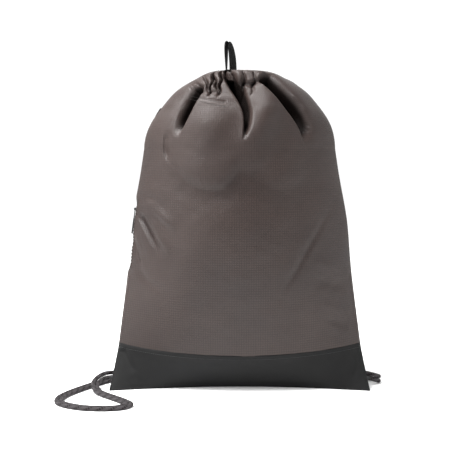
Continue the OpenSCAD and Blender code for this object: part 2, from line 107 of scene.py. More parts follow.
def store(piece, name, values):
    """Keeps a vector per point, in metres, for the material's pattern."""
    data = piece.data.attributes.new(name, "FLOAT_VECTOR", "POINT").data
    data.foreach_set("vector", np.asarray(values, np.float32).ravel())


def weave_coordinates(points):
    """Distances across and up a grid of points, in metres, for the cloth's thread grid."""
    across = np.linalg.norm(np.diff(points, axis=1), axis=-1)
    across = np.concatenate([np.zeros((points.shape[0], 1)), np.cumsum(across, 1)], 1)
    across -= across[:, points.shape[1] // 2][:, None]
    up = np.linalg.norm(np.diff(points, axis=0), axis=-1).mean(1)
    up = np.concatenate([[0], np.cumsum(up)])[:, None] * np.ones(points.shape[1])[None, :]
    return np.stack([across, up, np.zeros(up.shape)], -1) * MM


def lay_cloth(name, grid, material, thickness, flip, around=False, weave=None):
    """A sheet of cloth from a grid of points, thickened inwards."""
    piece = new_piece(name, grid.reshape(-1, 3),
                      grid_faces(*grid.shape[:2], around=around, flip=flip), material)
    store(piece, "weave", weave_coordinates(grid) if weave is None else weave)
    modifier = piece.modifiers.new("solidify", "SOLIDIFY")
    modifier.thickness, modifier.offset = thickness * MM, -1.0
    return piece


def smooth_line(knots, step):
    """A smooth line through the knots (any number of columns), at about one point per step."""
    knots = np.asarray(knots, float)
    padded = np.vstack([2 * knots[0] - knots[1], knots, 2 * knots[-1] - knots[-2]])
    gaps = np.linalg.norm(np.diff(padded[:, :3], axis=0), axis=1) ** 0.5
    at = np.concatenate([[0], np.cumsum(np.maximum(gaps, 1e-6))])[:, None]
    line = []
    for i in range(1, len(padded) - 2):
        p0, p1, p2, p3 = padded[i - 1:i + 3]
        t0, t1, t2, t3 = at[i - 1:i + 3, 0]
        count = max(2, int(np.linalg.norm((p2 - p1)[:3]) / step))
        t = np.linspace(t1, t2, count, endpoint=False)[:, None]
        a1 = (t1 - t) / (t1 - t0) * p0 + (t - t0) / (t1 - t0) * p1
        a2 = (t2 - t) / (t2 - t1) * p1 + (t - t1) / (t2 - t1) * p2
        a3 = (t3 - t) / (t3 - t2) * p2 + (t - t2) / (t3 - t2) * p3
        b1 = (t2 - t) / (t2 - t0) * a1 + (t - t0) / (t2 - t0) * a2
        b2 = (t3 - t) / (t3 - t1) * a2 + (t - t1) / (t3 - t1) * a3
        line.append((t2 - t) / (t2 - t1) * b1 + (t - t1) / (t2 - t1) * b2)
    return np.vstack(line + [knots[-1:]])


def along(line):
    """Distance along a line at each of its points."""
    steps = np.linalg.norm(np.diff(line, axis=0), axis=1)
    return np.concatenate([[0], np.cumsum(steps)])


def tube(line, radius, sides=14, close_ends=True):
    """Points, faces and braid coordinates of a round tube along a line, in millimetres."""
    line = np.asarray(line, float)
    count = len(line)
    radius = np.broadcast_to(np.asarray(radius, float), (count,))
    heading = np.gradient(line, axis=0)
    heading /= np.linalg.norm(heading, axis=1)[:, None]
    side = np.zeros((count, 3))
    first = np.array([0, 0, 1.0]) if abs(heading[0][2]) < 0.9 else np.array([1.0, 0, 0])
    for i in range(count):
        first = first - (first @ heading[i]) * heading[i]
        first /= np.linalg.norm(first)
        side[i] = first
    other = np.cross(heading, side)
    turn = 2 * math.pi * np.arange(sides) / sides
    ring = (np.cos(turn)[None, :, None] * side[:, None, :]
            + np.sin(turn)[None, :, None] * other[:, None, :])
    points = (line[:, None, :] + radius[:, None, None] * ring).reshape(-1, 3)
    faces = grid_faces(count, sides, around=True)
    distance = along(line)
    braid = np.stack([np.repeat(distance, sides) * MM,
                      np.tile(np.arange(sides) / sides, count),
                      np.zeros(count * sides)], axis=1)
    if close_ends:
        faces.append(tuple(range(sides))[::-1])
        faces.append(tuple(range((count - 1) * sides, count * sides)))
    return points, faces, braid


def merge(tubes):
    """Several tubes as one: points, faces and braid coordinates."""
    faces, base = [], 0
    for points, tube_faces, _ in tubes:
        faces += [tuple(i + base for i in face) for face in tube_faces]
        base += len(points)
    return np.vstack([t[0] for t in tubes]), faces, np.vstack([t[2] for t in tubes])


# ---------------------------------------- materials

def linear(hex_colour):
    """sRGB hex to the linear colour that a shader takes."""
    srgb = [int(hex_colour[i:i + 2], 16) / 255 for i in (1, 3, 5)]
    return [c / 12.92 if c <= 0.04045 else ((c + 0.055) / 1.055) ** 2.4 for c in srgb] + [1.0]


def add(tree, kind, settings=None, links=None):
    """A node with its settings and the sockets that feed it; returns its first output.
    A colour mix has its own colour sockets: A and B are its inputs 6 and 7."""
    node = tree.nodes.new("ShaderNode" + kind)
    place = {"A": 6, "B": 7} if kind == "Mix" else {}
    for key, value in (settings or {}).items():
        if isinstance(key, str) and key not in place and hasattr(node, key):
            setattr(node, key, value)
        else:
            node.inputs[place.get(key, key)].default_value = value
    for key, source in (links or {}).items():
        tree.links.new(source, node.inputs[place.get(key, key)])
    return node.outputs[2 if kind == "Mix" else 0]


def begin(name, fixed=None):
    """A node material; what is the same all over is set on its shader's own sockets."""
    material = bpy.data.materials.new(name)
    material.use_nodes = True
    tree = material.node_tree
    shader = tree.nodes["Principled BSDF"]
    for socket, value in (fixed or {}).items():
        shader.inputs[socket].default_value = value
    return material, tree, shader


def join(tree, shader, sockets):
    for name, source in sockets.items():
        tree.links.new(source, shader.inputs[name])


def attribute(tree, name, output="Vector"):
    return add(tree, "Attribute", {"attribute_name": name}).node.outputs[output]


def noise(tree, scale, detail=2.0, roughness=0.5, at=None):
    """Noise over the piece's own place, or over another coordinate."""
    if at is None:
        at = add(tree, "TexCoord").node.outputs["Object"]
    return add(tree, "TexNoise", {"Scale": scale, "Detail": detail, "Roughness": roughness},
               {"Vector": at})


def remap(tree, value, given, wanted, kind="LINEAR"):
    """A value moved from one range to another."""
    return add(tree, "MapRange", {"interpolation_type": kind, "From Min": given[0],
                                  "From Max": given[1], "To Min": wanted[0],
                                  "To Max": wanted[1]}, {"Value": value})


def tinted(tree, colour, shade, amount=1.0):
    """A colour multiplied by a shade."""
    return add(tree, "Mix", {"data_type": "RGBA", "blend_type": "MULTIPLY", "Factor": amount},
               {"A": colour, "B": shade})


def relief(tree, height, strength, distance):
    return add(tree, "Bump", {"Strength": strength, "Distance": distance}, {"Height": height})


def ramp(tree, factor, stops):
    """Colours or greys by a factor: stops are (place, colour or value)."""
    node = tree.nodes.new("ShaderNodeValToRGB")
    ramp_data = node.color_ramp
    while len(ramp_data.elements) < len(stops):
        ramp_data.elements.new(0.5)
    for element, (place, value) in zip(ramp_data.elements, stops):
        element.position = place
        element.color = linear(value) if isinstance(value, str) else (value, value, value, 1)
    tree.links.new(factor, node.inputs["Fac"])
    return node.outputs["Color"]


def thread_lines(tree, coordinate, axis, spacing, width):
    """1 on evenly spaced thread lines across one axis of a coordinate in metres, else 0."""
    part = add(tree, "SeparateXYZ", links={0: coordinate}).node.outputs[axis]
    cycles = add(tree, "Math", {"operation": "MULTIPLY", 1: 1 / (spacing * MM)}, {0: part})
    wave = add(tree, "Math", {"operation": "PINGPONG", 1: 0.5}, {0: cycles})
    return remap(tree, wave, (0.0, width / spacing), (1.0, 0.0), "SMOOTHSTEP")


def threads(tree, coordinate, spacing, width, axes=(0, 1), operation="ADD"):
    """Thread lines both ways."""
    across, up = (thread_lines(tree, coordinate, axis, spacing, width) for axis in axes)
    return add(tree, "Math", {"operation": operation}, {0: across, 1: up})


def ripstop_nylon():
    """Coated ripstop nylon: a fine flat weave with a grid of heavier threads, soft satin sheen."""
    material, tree, shader = begin("ripstop_nylon", {
        "Sheen Weight": 0.03, "Sheen Roughness": 0.4, "Sheen Tint": linear("#b8aba8")})
    weave = attribute(tree, "weave")
    # real ripstop has its grid every 5 mm and thread of 0.2 mm; drawn wide enough to show
    grid = threads(tree, weave, 3.2, 0.6, operation="MAXIMUM")
    fine = threads(tree, weave, 0.8, 0.3)
    clouds = noise(tree, 9.0, 3.0, 0.55)
    stretched = add(tree, "VectorMath", {"operation": "MULTIPLY", 1: (1 / 0.0009, 1 / 0.03, 1)},
                    {0: weave})
    slubs = noise(tree, 1.0, 1.0, at=stretched)
    body = ramp(tree, clouds, [(0.30, "#2d2422"), (0.52, "#332926"), (0.72, "#392f2c")])
    slubbed = tinted(tree, body, ramp(tree, slubs, [(0.3, 0.72), (0.7, 1.0)]), 0.30)
    lined = tinted(tree, slubbed, ramp(tree, grid, [(0.0, 1.0), (1.0, 0.52)]))
    # painted shade: drawn darker inside a gather, in place of the shadow of a lip that this cloth
    # can't form
    gather = attribute(tree, "gather", "Fac")
    height = add(tree, "Math", {"operation": "MULTIPLY_ADD", 1: 0.35}, {0: fine, 2: grid})
    join(tree, shader, {
        "Base Color": tinted(tree, lined, ramp(tree, gather, [(0.0, 1.0), (1.0, 0.16)])),
        # painted shade: a gather is also drawn with less gloss
        "Specular IOR Level": ramp(tree, gather, [(0.0, 0.26), (1.0, 0.03)]),
        "Roughness": remap(tree, clouds, (0.0, 1.0), (0.35, 0.45)),
        "Normal": relief(tree, height, 0.5, 0.00025)})
    return material


def band_canvas():
    """Heavy plain-woven polyester with a matte coating, dyed near black."""
    material, tree, shader = begin("band_canvas", {
        "Sheen Weight": 0.01, "Specular IOR Level": 0.14})
    # plain weave of 0.5 mm yarns, drawn at 1.1 mm
    cloth = threads(tree, attribute(tree, "weave"), 1.1, 0.5)
    clouds = noise(tree, 14.0, 4.0)
    colour = ramp(tree, clouds, [(0.3, "#161617"), (0.55, "#1a1a1a"), (0.75, "#1f1f1f")])
    join(tree, shader, {
        "Base Color": tinted(tree, colour, ramp(tree, cloth, [(0.0, 1.0), (1.0, 0.82)])),
        "Roughness": remap(tree, clouds, (0.2, 0.8), (0.55, 0.72)),
        "Normal": relief(tree, cloth, 0.5, 0.0003)})
    return material


def braided_polyester():
    """Round braided polyester cord: grey carriers with one dark tracer that shows as flecks."""
    material, tree, shader = begin("braided_polyester", {
        "Sheen Weight": 0.02, "Specular IOR Level": 0.12})
    parts = add(tree, "SeparateXYZ", links={0: attribute(tree, "braid")}).node
    length, turn = parts.outputs[0], parts.outputs[1]

    def helix(pitch, starts):
        """Carriers that wind one way: 0 to 1 across each."""
        run = add(tree, "Math", {"operation": "MULTIPLY", 1: 1 / (pitch * MM)}, {0: length})
        around = add(tree, "Math", {"operation": "MULTIPLY_ADD", 1: starts},
                     {0: turn, 2: run})
        return add(tree, "Math", {"operation": "FRACT"}, {0: around})

    def hump(value):
        """A rounded ridge across a carrier."""
        centred = add(tree, "Math", {"operation": "PINGPONG", 1: 0.5}, {0: value})
        return remap(tree, centred, (0.0, 0.42), (0.0, 1.0), "SMOOTHSTEP")

    def below(value, limit):
        return add(tree, "Math", {"operation": "LESS_THAN", 1: limit}, {0: value})

    carriers = add(tree, "Math", {"operation": "MULTIPLY"},
                   {0: hump(helix(2.6, 6.0)), 1: hump(helix(2.6, -6.0))})
    grey = ramp(tree, noise(tree, 2600.0), [(0.3, "#383536"), (0.6, "#4a4648"),
                                            (0.8, "#605c5e")])
    # painted shade: the grooves between the carriers are drawn darker
    shaded = tinted(tree, grey, ramp(tree, carriers, [(0.0, 0.55), (0.5, 1.0)]))
    # the tracer shows only where it lies over the other carriers
    fleck = add(tree, "Math", {"operation": "MULTIPLY"},
                {0: below(helix(15.0, 2.0), 0.42), 1: below(helix(3.4, -2.0), 0.62)})
    flecked = add(tree, "Mix", {"data_type": "RGBA", "B": linear("#120d0e")},
                  {"Factor": fleck, "A": shaded})
    join(tree, shader, {"Base Color": flecked,
                        "Roughness": ramp(tree, carriers, [(0.0, 0.9), (1.0, 0.6)]),
                        "Normal": relief(tree, carriers, 0.8, 0.0005)})
    return material


def woven_webbing():
    """Narrow woven polyester webbing in black, its ribs running along the length."""
    material, tree, shader = begin("woven_webbing", {"Specular IOR Level": 0.15})
    weave = attribute(tree, "weave")
    ribs = thread_lines(tree, weave, 0, 1.6, 0.7)
    picks = thread_lines(tree, weave, 1, 0.9, 0.4)
    cloth = add(tree, "Math", {"operation": "MULTIPLY_ADD", 1: 0.5}, {0: picks, 2: ribs})
    wear = noise(tree, 160.0, 3.0)
    colour = ramp(tree, wear, [(0.35, "#070707"), (0.6, "#0c0c0d"), (0.8, "#19191a")])
    join(tree, shader, {
        "Base Color": tinted(tree, colour, ramp(tree, cloth, [(0.0, 1.0), (1.0, 0.6)])),
        "Roughness": ramp(tree, wear, [(0.3, 0.75), (0.8, 0.55)]),
        "Normal": relief(tree, cloth, 0.7, 0.0004)})
    return material


def spun_thread(name, hex_colour):
    """Twisted polyester sewing thread."""
    material, tree, shader = begin(name, {"Roughness": 0.6})
    twist = noise(tree, 3000.0, 1.0)
    lit = add(tree, "Mix", {"data_type": "RGBA", "A": linear(hex_colour), "B": (0, 0, 0, 1)},
              {"Factor": ramp(tree, twist, [(0.3, 0.0), (0.9, 0.5)])})
    join(tree, shader, {"Base Color": lit, "Normal": relief(tree, twist, 0.5, 0.0001)})
    return material


def enamelled_zinc():
    """Die-cast zinc with black enamel, worn bright in specks."""
    material, tree, shader = begin("enamelled_zinc", {"Coat Weight": 0.4})
    specks = noise(tree, 700.0, 4.0)
    join(tree, shader, {
        "Base Color": ramp(tree, specks, [(0.0, "#161617"), (0.62, "#1c1c1d"),
                                          (0.72, "#5d5d60")]),
        "Roughness": ramp(tree, specks, [(0.3, 0.30), (0.7, 0.5)]),
        "Normal": relief(tree, specks, 0.2, 0.0001)})
    return material


def moulded_nylon(name):
    """Nylon monofilament of the zip's coils and the melted cord ends, satin black."""
    material, tree, shader = begin(name)
    haze = noise(tree, 900.0)
    join(tree, shader, {"Base Color": ramp(tree, haze, [(0.3, "#171718"), (0.7, "#2a2a2b")]),
                        "Roughness": ramp(tree, haze, [(0.3, 0.35), (0.7, 0.5)]),
                        "Normal": relief(tree, haze, 0.3, 0.0001)})
    return material


def taffeta(name, dark, light):
    """Thin plain-woven cloth seen by its own place: linings, tapes and bindings."""
    material, tree, shader = begin(name)
    # 0.3 mm yarns, drawn at 0.9 mm
    cloth = threads(tree, add(tree, "TexCoord").node.outputs["Object"], 0.9, 0.4, (0, 2))
    clouds = noise(tree, 60.0, 3.0)
    colour = ramp(tree, clouds, [(0.3, dark), (0.75, light)])
    join(tree, shader, {
        "Base Color": tinted(tree, colour, ramp(tree, cloth, [(0.0, 1.0), (1.0, 0.75)])),
        "Roughness": ramp(tree, clouds, [(0.3, 0.7), (0.7, 0.85)]),
        "Normal": relief(tree, cloth, 0.4, 0.0002)})
    return material


RIPSTOP = ripstop_nylon()
CANVAS = band_canvas()
BRAID = braided_polyester()
WEBBING = woven_webbing()
THREAD = spun_thread("spun_thread_grey", "#5a504d")
THREAD_DARK = spun_thread("spun_thread_dark", "#2c2624")
THREAD_BAND = spun_thread("spun_thread_black", "#1b1b1c")
ZINC = enamelled_zinc()
COIL = moulded_nylon("nylon_coil")
LINING = taffeta("lining_taffeta", "#3c3736", "#4d4745")
TAPE = taffeta("zip_tape_weave", "#141415", "#222223")
SEALED = moulded_nylon("melted_cord_end")


# ---------------------------------------- drawcords

# Routes of the pairs from the knot at the corner to the slit: place of the middle between
# the two strands, then the plan angle and upward tilt of the way from strand b to strand a.
LEFT_ROUTE = [
    [-.157, .012, .015, 127, 90], [-.171, .012, .015, 127, 90], [-.187, .002, .015, 130, 70],
    [-.197, -.020, .0095, 170, 40], [-.190, -.045, .0038, 205, 10],
    [-.151, -.099, .003, 205, 0], [-.142, -.117, .003, 176, 0], [-.148, -.131, .003, 134, 0],
    [-.164, -.138, .003, 100, 0], [-.200, -.134, .003, 68, 0], [-.231, -.108, .003, 28, 0],
    [-.234, -.072, .003, -12, 0], [-.190, .022, .003, -32, 0], [-.160, .055, .003, -60, 0],
    [-.132, .067, .003, -96, 0], [-.109, .059, .009, -138, 0], [-.107, .050, .230, -144, 0],
    [-.102, .041, .306, -144, 0], [-.094, .035, .379, -143, 0], [-.086, .028, .397, -137, 0],
    [-.075, .017, .4105, -118, 0], [-.060, .0135, .418, -98, 0],
    [-.034, .0135, .4208, -92, 0]]
RIGHT_ROUTE = [
    [.157, .012, .015, 90, 90], [.171, .012, .015, 90, 90], [.186, .014, .0115, 90, 90],
    [.196, .026, .0064, 90, 90], [.186, .041, .0064, 90, 90], [.158, .050, .0058, 85, 48],
    [.130, .057, .0032, 85, 6], [-.037, .062, .003, 88, 0], [-.054, .069, .003, 48, 0],
    [-.060, .083, .003, 0, 0], [-.053, .096, .003, -48, 0], [-.037, .101, .003, -86, 0],
    [.076, .098, .003, -98, 0], [.101, .082, .004, -142, 0], [.107, .057, .020, -178, 0],
    [.107, .050, .230, -216, 0], [.102, .041, .306, -216, 0], [.094, .035, .379, -217, 0],
    [.086, .028, .397, -223, 0], [.076, .017, .4105, -242, 0], [.061, .0135, .4205, -262, 0],
    [.034, .0135, .4272, -268, 0]]
CORD_D = 6.0        # diameter of the drawcord
PAIR_HALF = 3.15    # half the distance between the two strands of a pair
TURN_R = 22.0       # radius of the cord's turn inside the channel
CORD_STEP = 2.0     # distance between the points of a cord's line
LEAN = 2.5          # how far the filled dome leans to the right


def smoothstep(low, high, v):
    s = np.clip((v - low) / (high - low), 0, 1)
    return s * s * (3 - 2 * s)


def top_lean(z):
    """The filled dome leans a little to the right of the middle."""
    return LEAN * smoothstep(330, 385, z) * (1 - smoothstep(424, 436, z))


def strand_line(route, way):
    """Centre line of one strand in millimetres, on to its turn inside the channel."""
    knots = np.array(route, float)
    knots[:, :3] /= MM
    line = smooth_line(knots, CORD_STEP)
    plan, tilt = np.radians(line[:, 3]), np.radians(line[:, 4])
    apart = np.stack([np.cos(plan) * np.cos(tilt), np.sin(plan) * np.cos(tilt), np.sin(tilt)], 1)
    strand = line[:, :3] + way * PAIR_HALF * apart
    strand[:, 2] = np.maximum(strand[:, 2], CORD_D / 2)
    strand[:, 0] += top_lean(strand[:, 2])
    end = knots[-1]
    out = math.atan2(end[1], end[0])
    far = math.hypot(end[0], end[1])
    leave = math.atan(PAIR_HALF / far) + math.acos(TURN_R / math.hypot(far, PAIR_HALF))
    leave *= math.copysign(1, way * math.sin(math.radians(end[3]) - out))
    turn = [TURN_R * math.cos(out + leave), TURN_R * math.sin(out + leave), end[2]]
    return np.vstack([strand, smooth_line([strand[-1], turn], CORD_STEP)[1:]])


def lay_cord(name, node, parts, material=BRAID):
    """A piece of cord in the place of a CAD node."""
    points, faces, braid = parts
    piece = new_piece(name, points, faces, material)
    store(piece, "braid", braid)
    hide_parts(node)
    return piece


def make_knot(side, mirror):
    """A tight overhand knot of both strands, inside the corner tab's eye."""
    turn = np.linspace(0, 2 * math.pi, 120, endpoint=False)
    size = 2.0
    line = np.stack([-size * 0.8 * np.sin(3 * turn),
                     size * (np.sin(turn) + 2 * np.sin(2 * turn)),
                     size * (np.cos(turn) - 2 * np.cos(2 * turn))], 1)
    line = line * [mirror, 1, 1] + node_centre(f"cord_{side}_knot")
    line = np.vstack([line, line[:1]])
    return lay_cord(f"cord_{side}_knot_braid", f"cord_{side}_knot",
                    tube(line, CORD_D / 2, close_ends=False))


def make_ends(side):
    """The two ends beyond the knot, with their melted tips."""
    tip, start = node_centre(f"cord_{side}_tips"), node_centre(f"cord_{side}_knot")
    way = (tip - start) / np.linalg.norm(tip - start)
    pieces = []
    for part, material, slot in (("tails", BRAID, "braided_cord"),
                                 ("tips", SEALED, "sealed_tip")):
        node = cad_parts[f"cord_{side}_{part}"]
        co = np.array([v.co for v in node.data.vertices]) / MM
        middle = co.mean(0)
        spread = co - middle
        reach = spread @ way
        flat = spread - np.outer(reach, way)
        _, _, axes = np.linalg.svd(flat - flat.mean(0), full_matrices=False)
        ends = []
        for sign in (-1, 1):
            first = middle + way * reach.min() + sign * PAIR_HALF * axes[0]
            last = middle + way * reach.max() + sign * PAIR_HALF * axes[0]
            line = smooth_line([first, (first + last) / 2, last], 1.0)
            radius = np.full(len(line), CORD_D / 2)
            if part == "tips":
                radius *= np.linspace(1.03, 0.72, len(line)) ** 0.8
            ends.append(tube(line, radius))
        pieces.append(lay_cord(f"cord_{side}_{part}_cut", f"cord_{side}_{part}", merge(ends),
                               material))
    return pieces


def make_cord(side, route, mirror):
    """Both strands of one drawcord, its knot and its ends."""
    on_cord = [make_knot(side, mirror)] + make_ends(side)
    for label, way in (("a", 1), ("b", -1)):
        line = strand_line(route, way)
        name = f"cord_{side}_strand_{label}"
        strand = lay_cord(name + "_braid", name, tube(line, CORD_D / 2))


make_cord("left", LEFT_ROUTE, -1)
make_cord("right", RIGHT_ROUTE, 1)


# ---------------------------------------- shape of the filled bag

BASE_W = 2 * node_box("base_front")[1][0]
BAG_H = node_box("front_panel")[1][2]
BAG_D = 2 * node_box("back_panel")[1][1]
BAND_W, SHOULDER_W = 334.0, 260.0
BAND_H, SHOULDER_Z, BELLY_Z = 60.0, 329.0, 230.0
FOOT_D, FOOT_BACK, CORNER_FWD, BAND_DIP = 46.0, 25.0, 25.0, 12.0
CHANNEL_R, MOUTH_R = 33.0, 11.0
BODY_K, DOME_M, DOME_Q, BACK_M, BACK_Q = 1.7, 1.85, 0.656, 2.2, 0.8
ZIP_Z, ZIP_HALF, ZIP_REACH, ZIP_RAMP = 212.5, 5.2, 41.1, 11.0
SLIT_Z, SLIT_W, SLIT_RAMP = BAG_H - 35, 23.0, 11.0
# what the outline has beyond the plain shape: out by, at this height, over this reach
OUTLINE = ((3.5, 232, 48), (-4.0, 392, 26))
MOUTH_DROP = 4.5    # how much lower the shoulders of the mouth are than its middle
NECK_ROWS = 5       # rows of cloth from the gathered body to the channel


def shoulder_share(z):
    return np.clip((z - SHOULDER_Z) / (BAG_H - SHOULDER_Z), 0, 1)


def half_width(z):
    z = np.asarray(z, float)
    low = BASE_W / 2 + (BAND_W - BASE_W) / 2 * z / BAND_H
    side = BAND_W / 2 + (SHOULDER_W - BAND_W) / 2 * (z - BAND_H) / (SHOULDER_Z - BAND_H)
    dome = CHANNEL_R + (SHOULDER_W / 2 - CHANNEL_R) * (
        1 - shoulder_share(z) ** DOME_M) ** DOME_Q
    return np.where(z < BAND_H, low, np.where(z < SHOULDER_Z, side, dome))


def half_depth(z):
    z = np.asarray(z, float)
    low = FOOT_D / 2 + (BAG_D - FOOT_D) / 2 * np.sin(math.pi / 2 * np.clip(z / BELLY_Z, 0, 1))
    share = np.clip((z - BELLY_Z) / (BAG_H - BELLY_Z), 0, 1)
    top = CHANNEL_R + (BAG_D / 2 - CHANNEL_R) * (1 - share ** BACK_M) ** BACK_Q
    return np.where(z < BELLY_Z, low, top)


def roundness(z):
    return BODY_K + (1 - BODY_K) * shoulder_share(z)


def base_shift(z, u):
    fade = np.clip(1 - z / BAND_H, 0, 1) ** 2
    return fade * (FOOT_BACK - (FOOT_BACK + CORNER_FWD) * u ** 2)


def level_dip(z):
    return np.where(z < BAND_H, BAND_DIP * z / BAND_H,
                    BAND_DIP * np.clip((2.5 * BAND_H - z) / (1.5 * BAND_H), 0, 1))


def cloth_at(z, t, side):
    """Points of the plain filled shape: t is 0 at the right seam and pi at the left one."""
    level = z - level_dip(z) * np.sin(t) ** 2
    u = np.cos(t)
    y = side * half_depth(level) * np.sin(t) ** roundness(z) + base_shift(level, u)
    return np.stack([half_width(z) * u, y, level], -1)


# ---------------------------------------- folds of the cloth

def near_line(x, z, line):
    """For each place: how far along the line it is (0 to 1), and its distance to the line,
    positive on the line's right as it runs."""
    line = np.asarray(line, float)
    lengths = along(line)
    best = np.full(x.shape, 1e9)
    share, signed = np.zeros(x.shape), np.zeros(x.shape)
    for (ax, az), (bx, bz), begun in zip(line[:-1], line[1:], lengths):
        dx, dz = bx - ax, bz - az
        length = math.hypot(dx, dz)
        t = np.clip(((x - ax) * dx + (z - az) * dz) / length ** 2, 0, 1)
        ex, ez = x - ax - t * dx, z - az - t * dz
        distance = np.hypot(ex, ez)
        closer = distance < best
        best = np.where(closer, distance, best)
        share = np.where(closer, (begun + t * length) / lengths[-1], share)
        signed = np.where(closer, distance * np.sign(dx * -ez + dz * ex), signed)
    return share, signed


def fold(x, z, line, depth, left, right, ends=(0.1, 0.5), narrow=1.0, steep=2.0):
    """A valley along a line that runs down: left and right are its widths on the two sides
    as one goes along it, ends how much of the line fades in and out, narrow its width at the
    end, steep how square its walls are."""
    share, signed = near_line(x, z, smooth_line([(a, b, 0) for a, b in line], 3.0)[:, :2])
    width = np.where(signed < 0, left, right) * (1 + (narrow - 1) * share)
    fade = np.ones(x.shape)
    if ends[0] > 0:
        fade = fade * smoothstep(0, ends[0], share)
    if ends[1] > 0:
        fade = fade * smoothstep(0, ends[1], 1 - share)
    return depth * fade * np.exp(-np.abs(signed / width) ** steep)


def mound(x, z, centre, size, height, turn=0.0):
    """A soft raised patch."""
    c, s = math.cos(math.radians(turn)), math.sin(math.radians(turn))
    dx, dz = x - centre[0], z - centre[1]
    a, b = (dx * c + dz * s) / size[0], (-dx * s + dz * c) / size[1]
    return -height * np.exp(-(a ** 2 + b ** 2))


def ripple(x, z, seed, scale, octaves=3):
    """Smooth random waves of about unit height."""
    rng = np.random.default_rng(seed)
    total = np.zeros(x.shape)
    for octave in range(octaves):
        for _ in range(7):
            angle, phase = rng.uniform(0, 2 * math.pi), rng.uniform(0, 2 * math.pi)
            wave = 2 * math.pi * 2 ** octave / scale * rng.uniform(0.6, 1.4)
            total += np.sin(wave * (x * math.cos(angle) + z * math.sin(angle)) + phase) \
                / (2 ** octave) / 4
    return total


# A fold's line (x, z) runs down. After it come the depth, less than nothing for a ridge, the
# widths on its two sides and, where they matter, its fading, narrowing and steepness.
FRONT_GATHERS = (   # three deep ones, each with one sharp lip
    ([(-50, 417), (-57, 403), (-66, 386), (-75, 366), (-84, 342)],
     18, 3.0, 10, (0.15, 0.40), 0.7, 2.3),
    ([(-20, 424), (-13, 411), (-3, 395), (4, 378), (6, 360), (4, 338)],
     32, 10, 3.2, (0.0, 0.45), 0.30, 2.4),
    ([(22, 425), (37, 409), (53, 392), (69, 374), (81, 355), (89, 333)],
     26, 14, 2.8, (0.10, 0.42), 0.7, 2.3))
FRONT_MOUNDS = (    # cloth piled up beside them: centre, size, height, turn
    ((-40, 366), (30, 38), 8), ((30, 372), (20, 44), 9, -14), ((-9, 424), (10, 9), 7),
    ((90, 384), (10, 30), 3.5, 40), ((-104, 345), (14, 34), 3),
    ((-46, 306), (34, 20), 2.2, 10))
FRONT_CREASES = (
    # small crease at the left shoulder, and the soft lower edge of the gathered zone
    ([(-97, 356), (-100, 340), (-99, 322), (-92, 306)], 4.0, 7, 2.4, (0.3, 0.4)),
    ([(-101, 322), (-88, 302), (-70, 283), (-45, 272), (-22, 274), (-2, 294), (5, 327)],
     3.4, 9, 24, (0.2, 0.3)),
    ([(12, 340), (22, 300), (46, 272), (80, 276), (104, 312)], 2.4, 16, 34, (0.4, 0.3)),
    # pulls beside the left seam
    ([(-136, 244), (-120, 214), (-102, 178)], 4.2, 5, 4, (0.2, 0.5)),
    ([(-124, 262), (-102, 239), (-80, 219)], -3.6, 8, 5, (0.3, 0.4)),
    ([(-143, 240), (-129, 206), (-118, 172)], -3.2, 5, 4, (0.2, 0.4)),
    ([(-118, 238), (-102, 206), (-90, 182)], -2.6, 5, 4, (0.2, 0.5)),
    ([(-147, 214), (-138, 186), (-130, 164)], 2.0, 4, 4, (0.2, 0.5)),
    ([(-128, 270), (-108, 252), (-92, 246)], 2.4, 7, 6, (0.3, 0.4)),
    ([(-142, 175), (-124, 150), (-96, 138)], 1.4, 6, 6, (0.3, 0.4)),
    # pulls beside the right seam
    ([(96, 180), (118, 173), (144, 160)], -3.0, 9, 6, (0.5, 0.35)),
    ([(104, 124), (126, 114), (150, 100)], -2.4, 8, 5, (0.5, 0.35)),
    ([(96, 160), (120, 150), (146, 136)], 1.8, 8, 8, (0.5, 0.4)),
    ([(108, 104), (130, 95), (152, 84)], 1.4, 6, 6, (0.5, 0.4)))
PLEATS = (          # in the channel, drawn up left of the middle: place, lean, depth, width
    (-46, -2, 7.0, 1.5), (-40, 2, 10.0, 1.4), (-34, -2, 8.0, 1.3), (-28, 1, 10.0, 1.6),
    (-58, -5, 3.4, 2.6), (-66, -8, 2.4, 3.0), (3, 1, 5.0, 2.2), (16, 2, 4.0, 2.0))
STITCH_PULLS = (    # where the channel's stitch line pulls in
    ([(-66, 399), (-50, 393), (-35, 390), (-18, 388)], 1.6, 2.5, 2.5, (0.15, 0.1)),
    ([(-2, 421), (6, 416), (14, 415), (24, 421)], 5.0, 3.0, 5.0, (0.1, 0.1)))
BACK_GATHERS = (    # place at the mouth, place and height of the lower end, depth, widths
    (-62, -96, 330, 9, 8, 3), (-38, -52, 352, 11, 5, 9), (-12, -16, 340, 13, 4, 8),
    (14, 22, 356, 11, 8, 4), (40, 60, 338, 12, 9, 4), (64, 98, 334, 9, 3, 8))
BACK_CREASES = (
    ([(-96, 300), (-50, 276), (10, 272), (70, 286), (104, 318)], 2.4, 10, 22, (0.3, 0.3)),
    ([(-136, 236), (-112, 200), (-70, 160)], 2.6, 6, 8, (0.2, 0.5)),
    ([(138, 220), (110, 190), (70, 172)], 2.4, 8, 6, (0.2, 0.5)),
    ([(146, 130), (112, 118), (60, 120)], 1.8, 7, 7, (0.2, 0.5)))


def add_all(inset, shape, x, z, items):
    """Adds the folds or mounds of a list, one after the other."""
    for item in items:
        inset += shape(x, z, *item)


